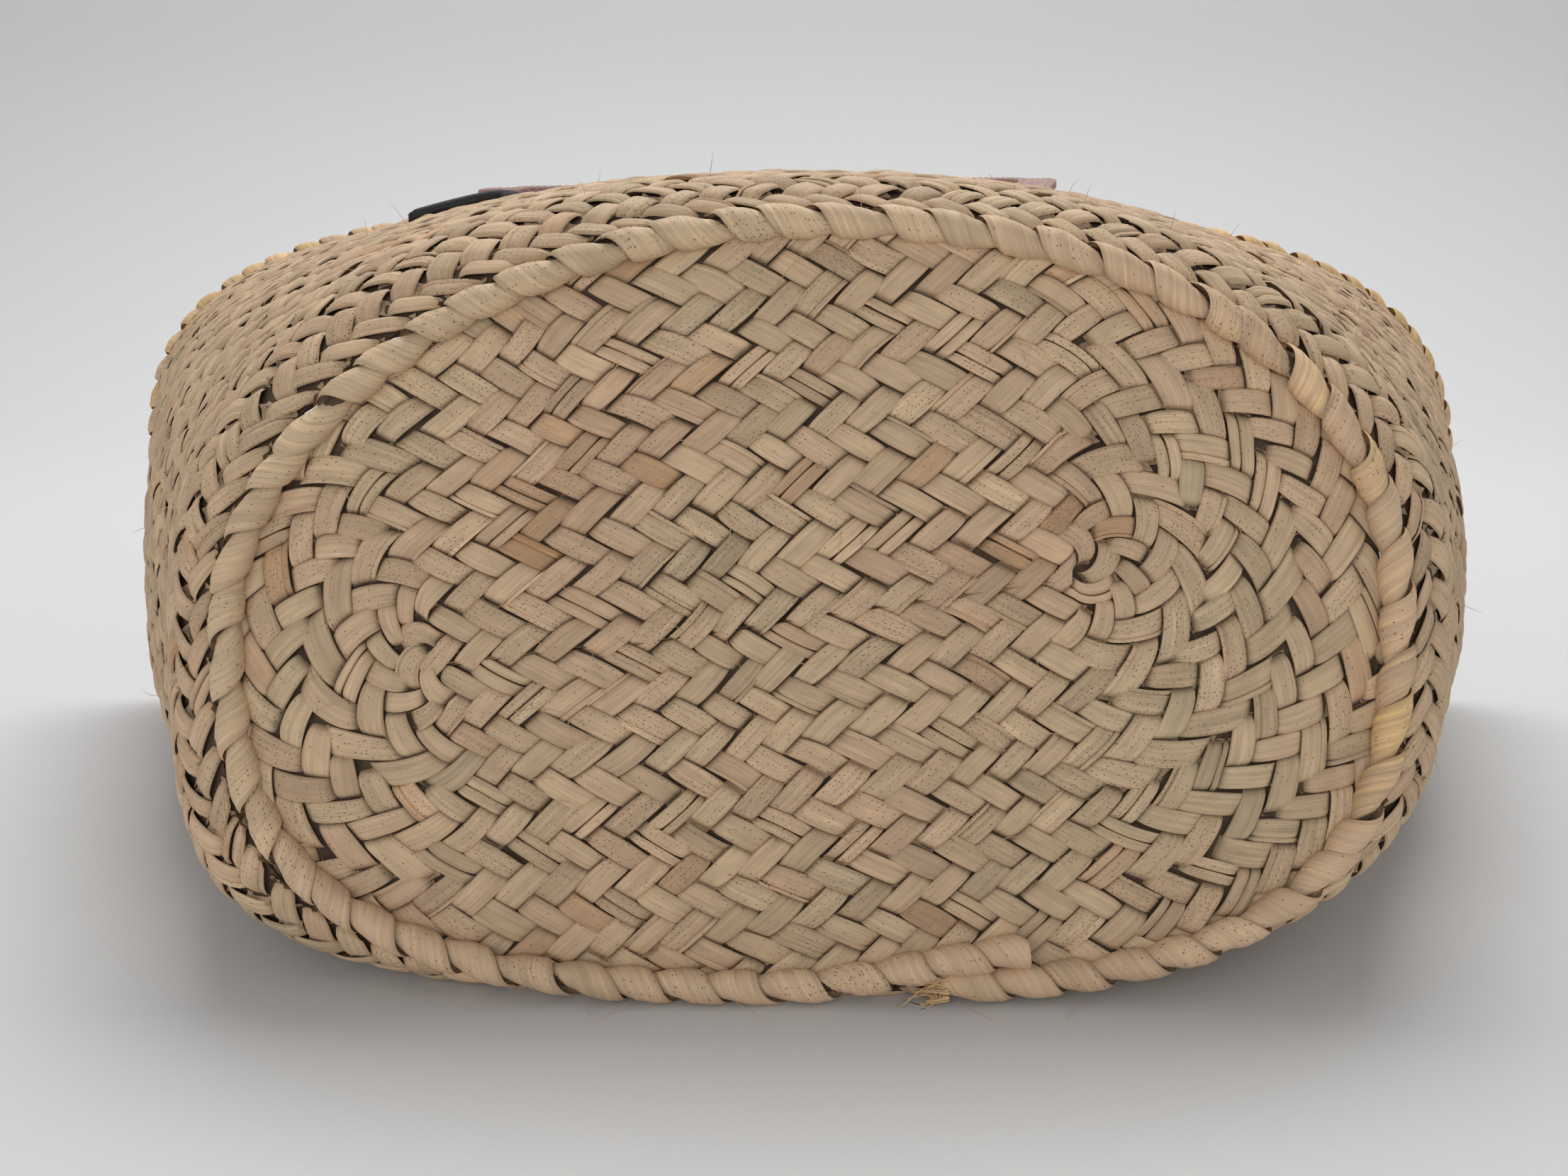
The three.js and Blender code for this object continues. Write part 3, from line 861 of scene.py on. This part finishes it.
def fibre_mesh(name, lines, radius):
    """Thin three-sided hairs along lines of points, thinner at their tips."""
    points, faces, tints, uvs = [], [], [], []
    total = 0
    for line in lines:
        count = len(line)
        ahead = unit(np.gradient(line, axis=0))
        side = unit(np.cross(ahead, (0.3, 0.5, 0.8)))
        lift = np.cross(ahead, side)
        thick = radius * np.clip(1.15 - np.linspace(0, 1, count) ** 3, 0.15, 1)[:, None]
        for angle in (0, 2 * np.pi / 3, 4 * np.pi / 3):
            points.append(line + thick * (math.cos(angle) * side + math.sin(angle) * lift))
        for edge in range(3):
            a = total + edge * count + np.arange(count - 1)
            b = total + (edge + 1) % 3 * count + np.arange(count - 1)
            faces += np.stack([a, b, b + 1, a + 1], axis=1).tolist()
        total += 3 * count
        tints.append(np.tile([rng.uniform(0.5, 0.9), rng.uniform(0.35, 0.9), 0.0, 0.0], (3 * count, 1)))
        uvs.append(np.tile(np.stack([np.arange(count) * 0.5, np.zeros(count)], axis=-1), (3, 1)))
    points = np.concatenate(points)
    points[:, 2] = np.maximum(points[:, 2], OVER_FLOOR)
    return mesh_object(name, points, faces, np.concatenate(uvs), np.concatenate(tints))


def curved_hair(start, heading, curl, length, count=14):
    """Hair that leaves start along heading and bends steadily towards curl."""
    t = np.linspace(0, 1, count)[:, None]
    heading, curl = np.asarray(heading, float), np.asarray(curl, float)
    return np.asarray(start, float) + length * (t * heading + t**2 * curl)


def base_hairs():
    """Hairs lying on the base, with a few long ones where the photo shows them."""
    lines = []
    chosen = [
        ((-24, 28), (0.5, -0.85), (-0.6, 0.1), 26), ((-52, 62), (0.3, 0.9), (0.4, -0.9), 14),
        ((-45, 60), (0.6, 0.6), (0.2, -1.1), 12), ((-78, -28), (0.9, 0.3), (-0.1, -0.5), 24),
        ((-30, -66), (0.2, -0.9), (0.5, 0.2), 20), ((76, 60), (-0.4, 0.9), (0.9, 0.1), 22),
        ((50, -62), (0.8, 0.4), (-0.3, -0.7), 22), ((-8, -14), (0.9, -0.4), (-0.2, 0.9), 30),
        ((-66, 8), (0.2, -0.9), (0.4, 0.5), 18), ((26, -84), (-0.5, 0.8), (0.9, -0.2), 16),
        ((112, 20), (0.3, -0.9), (0.3, 0.6), 18), ((-120, 10), (0.4, 0.8), (0.5, -0.4), 12),
    ]
    picks = [(x, up, heading, curl, length) for (x, up), heading, curl, length in chosen]
    for _ in range(46):
        angle = rng.uniform(0, 2 * np.pi)
        reach = np.sqrt(rng.random()) * 0.93
        x = reach * 145 * math.cos(angle)
        up = reach * 92 * math.sin(angle)
        way = rng.uniform(0, 2 * np.pi)
        picks.append((x, up, (math.cos(way), math.sin(way)), rng.normal(0, 0.5, 2), rng.uniform(4, 13)))
    for x, up, heading, curl, length in picks:
        flat = curved_hair((x, up), heading, curl, length)
        room, _ = inside_rim(flat[:, 0], flat[:, 1])
        flat = flat[room > 4]
        if len(flat) < 5:
            continue
        height = 1.3 + 2.2 * np.sin(np.linspace(0.2, 2.6, len(flat)))
        lines.append(base_point(flat[:, 0], flat[:, 1], height))
    return lines


def wall_hairs():
    """Short spikes and hairs that stand off the wall."""
    lines = []
    for _ in range(150):
        share, part = rng.uniform(0.03, 0.95), rng.random()
        start = wall.at(np.array([share]), np.array([part]), np.array([1.2]))[0]
        normal = wall.blend(wall.normals, np.array([share]), np.array([part]))[0]
        if start[2] < 12:
            continue
        heading = normal * rng.uniform(0.1, 0.7) + rng.normal(0, 0.5, 3)
        lines.append(curved_hair(start, heading, rng.normal(0, 0.5, 3), rng.uniform(3, 8), 7))
    standing = [((13, 38), 9), ((-62, 60), 5), ((75, 60), 6),
                ((-195, 150), 7), ((196, 120), 7), ((190, 160), 9)]
    for (x, y), length in standing:
        start = (x, y, wall_top(np.array(float(x)), np.array(float(y))) - 0.3)
        heading, curl = (rng.normal(0, 0.15), -0.15, 1.0), (rng.normal(0, 0.3), 0, 0)
        lines.append(curved_hair(start, heading, curl, length, 8))
    return lines


def floor_hairs():
    """Hairs that hang from the bottom of the rope on to the floor."""
    lines = []
    for x, way in ((-48, -0.8), (-20, 0.9), (38, 0.9), (-60, 0.4), (70, -0.5)):
        start = (x, -2.5, 2.0)
        lines.append(curved_hair(start, (way * 0.4, -0.5, -0.06), (way * 0.5, -0.3, 0), 12, 10))
    return lines


def frayed_end(path):
    """Strands of the rope's core at its cut end, and the ragged leaf round them."""
    lines = []
    tip = path.around(np.array(0.0), np.array(0.0), np.array(0.0))
    out = path.read(path.outward, np.array(0.0))
    front = path.read(path.front, np.array(0.0))
    back = unit(tip - path.read(path.points, np.array(2.0)))
    for _ in range(90):
        angle, reach = rng.uniform(0, 2 * np.pi), 3.9 * math.sqrt(rng.random())
        start = tip + reach * (math.cos(angle) * out + math.sin(angle) * front) - back * 3
        heading, curl = back + rng.normal(0, 0.12, 3), rng.normal(0, 0.35, 3)
        lines.append(curved_hair(start, heading, curl, rng.uniform(4.5, 7), 6))
    for _ in range(6):
        angle = rng.uniform(0, 2 * np.pi)
        start = tip + 3 * (math.cos(angle) * out + math.sin(angle) * front)
        heading, curl = back * 0.5 + rng.normal(0, 0.5, 3), rng.normal(0, 0.5, 3)
        lines.append(curved_hair(start, heading, curl, 9, 8))
    return lines


# Materials

class Nodes:
    """Short way to build a node tree."""

    def __init__(self, name):
        self.material = bpy.data.materials.new(name)
        self.material.use_nodes = True
        self.tree = self.material.node_tree
        self.tree.nodes.clear()
        self.out = self.add("ShaderNodeOutputMaterial")
        self.shader = self.add("ShaderNodeBsdfPrincipled")
        self.link(self.shader.outputs["BSDF"], self.out.inputs["Surface"])

    def place(self):
        """Place on the object, in metres."""
        return self.add("ShaderNodeTexCoord").outputs["Object"]

    def add(self, kind, **values):
        node = self.tree.nodes.new(kind)
        for key, value in values.items():
            setattr(node, key, value)
        return node

    def link(self, source, target):
        self.tree.links.new(source, target)

    def put(self, socket, value):
        if isinstance(value, bpy.types.NodeSocket):
            self.link(value, socket)
        else:
            socket.default_value = value

    def math(self, operation, a, b=0.0):
        node = self.add("ShaderNodeMath", operation=operation)
        self.put(node.inputs[0], a)
        self.put(node.inputs[1], b)
        return node.outputs[0]

    def remap(self, value, low, high, new_low=0.0, new_high=1.0):
        node = self.add("ShaderNodeMapRange", clamp=True)
        sockets = ("Value", "From Min", "From Max", "To Min", "To Max")
        for socket, given in zip(sockets, (value, low, high, new_low, new_high)):
            self.put(node.inputs[socket], given)
        return node.outputs["Result"]

    def mix(self, factor, a, b, blend="MIX"):
        node = self.add("ShaderNodeMix", data_type="RGBA", blend_type=blend)
        for socket, given in ((0, factor), (6, a), (7, b)):
            self.put(node.inputs[socket], given)
        return node.outputs[2]

    def scaled(self, vector, scale):
        node = self.add("ShaderNodeVectorMath", operation="MULTIPLY")
        self.put(node.inputs[0], vector)
        node.inputs[1].default_value = scale
        return node.outputs[0]

    def noise(self, vector, scale, detail=2.0, rough=0.5, dimensions="3D"):
        node = self.add("ShaderNodeTexNoise", noise_dimensions=dimensions)
        self.put(node.inputs["Vector"], vector)
        for socket, given in (("Scale", scale), ("Detail", detail), ("Roughness", rough)):
            node.inputs[socket].default_value = given
        return node.outputs["Fac"]

    def ramp(self, value, stops):
        node = self.add("ShaderNodeValToRGB")
        self.put(node.inputs["Fac"], value)
        elements = node.color_ramp.elements
        while len(elements) < len(stops):
            elements.new(0.5)
        for element, (place, colour) in zip(elements, stops):
            element.position = place
            element.color = (*colour, 1.0)
        return node.outputs["Color"]

    def bump(self, height, strength, distance):
        node = self.add("ShaderNodeBump")
        node.inputs["Strength"].default_value = strength
        node.inputs["Distance"].default_value = distance
        self.put(node.inputs["Height"], height)
        self.link(node.outputs["Normal"], self.shader.inputs["Normal"])

    def set(self, **values):
        for key, value in values.items():
            self.put(self.shader.inputs[key.replace("_", " ")], value)


def leaf_material(name, palette, roughness, gain):
    """Dried palm leaf: fibres along each strip, brown specks, and painted shade on the edges and tucked ends.
    """
    n = Nodes(name)
    uv = n.add("ShaderNodeUVMap", uv_map="leaf").outputs["UV"]
    tint = n.add("ShaderNodeAttribute", attribute_name="tint", attribute_type="GEOMETRY")
    parts = n.add("ShaderNodeSeparateColor")
    n.link(tint.outputs["Color"], parts.inputs["Color"])
    light, hue, specks = parts.outputs[0], parts.outputs[1], parts.outputs[2]
    painted_edge_shade = tint.outputs["Alpha"]
    fibre = n.noise(n.scaled(uv, (0.05, 3.4, 1.0)), 1.0, 2.0, 0.55, "2D")
    streak = n.noise(n.scaled(uv, (0.025, 0.8, 1.0)), 1.0, 2.0, 0.5, "2D")
    blotch = n.noise(n.scaled(uv, (0.10, 0.16, 1.0)), 1.0, 2.0, 0.5, "2D")
    veins = n.noise(n.scaled(uv, (0.012, 1.3, 1.0)), 1.0, 1.0, 0.5, "2D")
    vein = n.remap(n.math("ABSOLUTE", n.math("SUBTRACT", veins, 0.5)), 0.0, 0.035, 1.0, 0.0)
    hue = n.math("ADD", hue, n.math("MULTIPLY", n.math("SUBTRACT", streak, 0.5), 0.25))
    colour = n.ramp(hue, palette)
    shade = n.math("ADD", 0.74 * gain, n.math("MULTIPLY", light, 0.44 * gain))
    for pattern, darkest, lightest in ((fibre, 0.90, 1.08), (streak, 0.88, 1.10), (blotch, 0.92, 1.07)):
        shade = n.math("MULTIPLY", shade, n.remap(pattern, 0.3, 0.7, darkest, lightest))
    shade = n.math("MULTIPLY", shade, n.remap(vein, 0.0, 1.0, 1.0, 1.13))
    grey = n.add("ShaderNodeCombineColor")
    for socket in grey.inputs[:3]:
        n.link(shade, socket)
    colour = n.mix(1.0, colour, grey.outputs[0], "MULTIPLY")
    cells = n.add("ShaderNodeTexVoronoi", voronoi_dimensions="2D", feature="F1")
    cells.inputs["Scale"].default_value = 1.0
    n.link(n.scaled(uv, (0.62, 0.95, 1.0)), cells.inputs["Vector"])
    drawn = n.add("ShaderNodeSeparateColor")
    n.link(cells.outputs["Color"], drawn.inputs["Color"])
    kept = n.math("LESS_THAN", drawn.outputs[0], n.math("MULTIPLY", specks, 0.95))
    size = n.remap(drawn.outputs[1], 0.0, 1.0, 0.09, 0.21)
    inside = n.remap(n.math("SUBTRACT", size, cells.outputs["Distance"]), 0.0, 0.05, 0.0, 0.85)
    colour = n.mix(n.math("MULTIPLY", inside, kept), colour, (*SPECK, 1.0))
    # Painted shade: edges and tucked ends darkened towards the crevice shade colour
    colour = n.mix(n.math("MULTIPLY", painted_edge_shade, 0.75), colour, (*PAINTED_CREVICE_SHADE, 1.0))
    n.set(Base_Color=colour, Specular_IOR_Level=0.35,
          Roughness=n.remap(fibre, 0.3, 0.7, roughness - 0.07, roughness + 0.07))
    relief = n.math("ADD", n.math("MULTIPLY", fibre, 0.6), n.math("MULTIPLY", streak, 1.0))
    relief = n.math("ADD", relief, n.math("MULTIPLY", vein, 0.3))
    n.bump(relief, 0.6, 0.0004)
    return n.material


def gap_shade_material():
    """Painted shade: straw strips coloured near black, so the gaps between floats and rope turns look shaded.
    """
    n = Nodes("gap_shade_straw")
    place = n.place()
    grain = n.noise(n.scaled(place, (900, 900, 900)), 1.0, 3.0, 0.6)
    patch = n.noise(n.scaled(place, (120, 120, 120)), 1.0, 2.0, 0.5)
    colour = n.mix(grain, (0.045, 0.026, 0.014, 1), (0.15, 0.095, 0.055, 1))
    colour = n.mix(n.remap(patch, 0.4, 0.65, 0.0, 0.5), colour, (0.03, 0.018, 0.01, 1))
    n.set(Base_Color=colour, Roughness=n.remap(grain, 0.3, 0.7, 0.8, 0.95))
    n.bump(grain, 0.5, 0.0006)
    return n.material


def leather_material(name, base, dark, roughness, worn):
    """Leather with a fine pebbled grain, faint creases and paler worn edges."""
    n = Nodes(name)
    place = n.place()
    pebble = n.add("ShaderNodeTexVoronoi", feature="DISTANCE_TO_EDGE")
    pebble.inputs["Scale"].default_value = 1100
    n.link(place, pebble.inputs["Vector"])
    pebbles = n.remap(pebble.outputs["Distance"], 0.0, 0.25)
    crease = n.noise(n.scaled(place, (150, 220, 150)), 1.0, 3.0, 0.6)
    patch = n.noise(place, 45, 2.0, 0.5)
    colour = n.mix(n.remap(patch, 0.35, 0.65), (*base, 1), (*dark, 1))
    colour = n.mix(n.remap(pebbles, 0.0, 0.5, 0.45, 0.0), colour, (*dark, 1))
    edge = n.add("ShaderNodeNewGeometry").outputs["Pointiness"]
    pale = (*[c * 1.5 + 0.04 for c in base], 1)
    colour = n.mix(n.remap(edge, 0.52, 0.62, 0.0, worn), colour, pale)
    n.set(Base_Color=colour, Specular_IOR_Level=0.45,
          Roughness=n.remap(crease, 0.3, 0.7, roughness - 0.08, roughness + 0.10))
    n.bump(n.math("ADD", pebbles, n.math("MULTIPLY", crease, 0.8)), 0.35, 0.0003)
    return n.material


def steel_material():
    """Polished steel with fine circular scratches."""
    n = Nodes("rivet_bare_steel")
    place = n.place()
    scratch = n.noise(n.scaled(place, (2500, 400, 900)), 1.0, 3.0, 0.6)
    n.set(Base_Color=n.mix(scratch, (0.70, 0.70, 0.69, 1), (0.86, 0.86, 0.85, 1)), Metallic=1.0,
          Roughness=n.remap(scratch, 0.3, 0.7, 0.14, 0.30))
    n.bump(scratch, 0.1, 0.0001)
    return n.material


def thread_material(name, colour):
    n = Nodes(name)
    place = n.place()
    twist = n.noise(n.scaled(place, (1800, 1800, 600)), 1.0, 2.0, 0.5)
    n.set(Base_Color=n.mix(twist, (*[c * 0.6 for c in colour], 1), (*colour, 1)),
          Roughness=n.remap(twist, 0.3, 0.7, 0.6, 0.8))
    n.bump(twist, 0.4, 0.0002)
    return n.material


def studio_material():
    n = Nodes("pale_paper")
    place = n.place()
    tooth = n.noise(place, 600, 2.0, 0.5)
    n.set(Base_Color=n.mix(tooth, (0.69, 0.69, 0.69, 1), (0.72, 0.72, 0.72, 1)),
          Roughness=n.remap(tooth, 0.3, 0.7, 0.7, 0.8), Specular_IOR_Level=0.2)
    return n.material


# Pieces

def dress(piece, material, slot, *nodes):
    piece.data.materials.append(material)
    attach(piece, "root")
    if nodes:
        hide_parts(*nodes)


leaf_stops = [(0.0, GREEN_GREY), (0.38, SAND), (0.62, PINK_SAND), (1.0, TAN)]
rope_stops = [(0.0, GREEN_GREY), (0.35, SAND), (0.58, PINK_SAND), (0.72, OCHRE), (1.0, OCHRE)]
straw = leaf_material("plaited_leaf", leaf_stops, 0.62, 1.38)
rope_straw = leaf_material("rope_leaf", rope_stops, 0.56, 1.45)
# Painted shade for the shells and rope cores that show in the gaps
under = gap_shade_material()
pink = leather_material("strap_pink_leather", (0.43, 0.25, 0.21), (0.33, 0.18, 0.155), 0.5, 0.6)
black = leather_material("black_grained_leather", (0.012, 0.011, 0.011), (0.005, 0.005, 0.005), 0.55, 0.25)
steel = steel_material()
pink_thread = thread_material("strap_thread", (0.55, 0.36, 0.31))
black_thread = thread_material("tab_thread", (0.03, 0.03, 0.03))

base_leaves = base_floats()
dress(build_leaves("base_plait", base_leaves, lay_on_base, 15, 9, 6), straw, "plaited_straw", "base_panel")

dress(build_leaves("base_plait_inside", base_leaves, line_base, 7, 5, 4, flip=True), straw, "plaited_straw")
dress(base_core(), under, "plaited_straw")
for band in range(WALL_BANDS):
    outer = build_leaves(f"wall_plait_{band + 1}", wall_floats(band, 1.7, 0.94), lay_on_wall, 9, 7, 4)
    dress(outer, straw, "plaited_straw", *(["body_wall"] if band == 0 else []))
    inner = build_leaves(f"wall_lining_{band + 1}", wall_floats(band, 1.1, 0.99), line_wall, 5, 4, 4, flip=True)
    dress(inner, straw, "plaited_straw")
dress(wall_core(), under, "plaited_straw")

base_rope = base_rope_path()
mouth_rope = mouth_rope_path()
base_winding = wind_rope("base_rope_winding", base_rope, BASE_RIM_R, BASE_WRAP, 1.0,
                         base_rope_hue, 0.0, 25, 15)
dress(base_winding, rope_straw, "rim_straw", "base_rim")
# The rope cores carry the painted-shade straw, dark in the slits between turns
dress(tube("base_rope_core", base_rope, BASE_RIM_R - 1.9, 420, 10), under, "rim_straw")
mouth_winding = wind_rope("mouth_rope_winding", mouth_rope, MOUTH_RIM_R - 0.2, MOUTH_WRAP, -1.0,
                          mouth_rope_hue, 0.1, 19, 11)
dress(mouth_winding, rope_straw, "rim_straw", "mouth_rim")
dress(tube("mouth_rope_core", mouth_rope, MOUTH_RIM_R - 2.1, 420, 10), under, "rim_straw")

strap_path = strap_line(220)
strap_profile = rounded_profile(STRAP_WIDTH, STRAP_THICKNESS, 1.1)
strap = swept_strap("strap_leather", strap_path, strap_profile, STRAP_WIDTH / 2)
dress(strap, pink, "pink_leather", "handle_strap")
dress(strap_stitches(strap_path), pink_thread, "pink_leather")
for side, x in (("left", TAB_LEFT_X), ("right", TAB_RIGHT_X)):
    tab = leather_plate(f"tab_{side}_leather", x, TAB_START_Y, TAB_WIDTH, TAB_LENGTH, TAB_THICKNESS, 3.0)
    dress(tab, black, "black_leather", f"handle_tab_{side}")
    seams = plate_stitches(f"tab_{side}_stitching", x, TAB_START_Y, TAB_WIDTH, TAB_LENGTH, TAB_THICKNESS)
    dress(seams, black_thread, "black_leather")
    dress(rivet_head(f"rivet_{side}_head", f"rivet_{side}"), steel, "rivet_steel", f"rivet_{side}")
patch = leather_plate("patch_leather", PATCH_X, PATCH_Y, PATCH_WIDTH, PATCH_LENGTH, PATCH_THICKNESS, 4.0)
dress(patch, black, "black_leather", "leather_patch")

dress(fibre_mesh("loose_fibres", base_hairs() + wall_hairs() + floor_hairs(), 0.11), straw, "plaited_straw")
dress(fibre_mesh("rope_cut_end", frayed_end(base_rope), 0.28), rope_straw, "rim_straw")


# Floor, lights and camera

def paper_sweep():
    """Pale floor that curves up into a back wall."""
    radius, back, height, width = 0.5, 1.5, 2.2, 6.0
    profile = [(-3.0, 0.0)] + [(back - radius + radius * math.sin(a), radius - radius * math.cos(a))
                               for a in np.linspace(0, math.pi / 2, 16)] + [(back, height)]
    points = [(x, y, z) for y, z in profile for x in (-width / 2, width / 2)]
    faces = [(2 * k, 2 * k + 1, 2 * k + 3, 2 * k + 2) for k in range(len(profile) - 1)]
    mesh = bpy.data.meshes.new("paper_sweep")
    mesh.from_pydata(points, [], faces)
    mesh.polygons.foreach_set("use_smooth", [True] * len(faces))
    mesh.materials.append(studio_material())
    sweep = bpy.data.objects.new("paper_sweep", mesh)
    bpy.context.scene.collection.objects.link(sweep)


def area_light(name, place, target, size, power):
    data = bpy.data.lights.new(name, "AREA")
    data.shape = "RECTANGLE"
    data.size, data.size_y = size
    data.energy = power
    lamp = bpy.data.objects.new(name, data)
    lamp.location = place
    aim = np.array(target) - np.array(place)
    lamp.rotation_euler = (math.atan2(math.hypot(aim[0], aim[1]), -aim[2]), 0, math.atan2(-aim[0], aim[1]))
    bpy.context.scene.collection.objects.link(lamp)


def camera():
    data = bpy.data.cameras.new("photo_camera")
    data.sensor_width = 36
    data.lens = CAMERA_LENS
    data.clip_start = 0.01
    eye = bpy.data.objects.new("photo_camera", data)
    eye.location = CAMERA_PLACE
    eye.rotation_euler = (math.radians(CAMERA_PITCH), 0, 0)
    bpy.context.scene.collection.objects.link(eye)
    bpy.context.scene.camera = eye


paper_sweep()
for lamp_name, (place, aim, size, power) in LIGHTS.items():
    area_light(lamp_name, place, aim, size, power)
world = bpy.data.worlds.new("studio_air")
world.use_nodes = True
air = world.node_tree.nodes["Background"].inputs
air["Color"].default_value = AIR_COLOUR
air["Strength"].default_value = AIR_STRENGTH
bpy.context.scene.world = world
bpy.context.scene.view_settings.view_transform = "Standard"
camera()
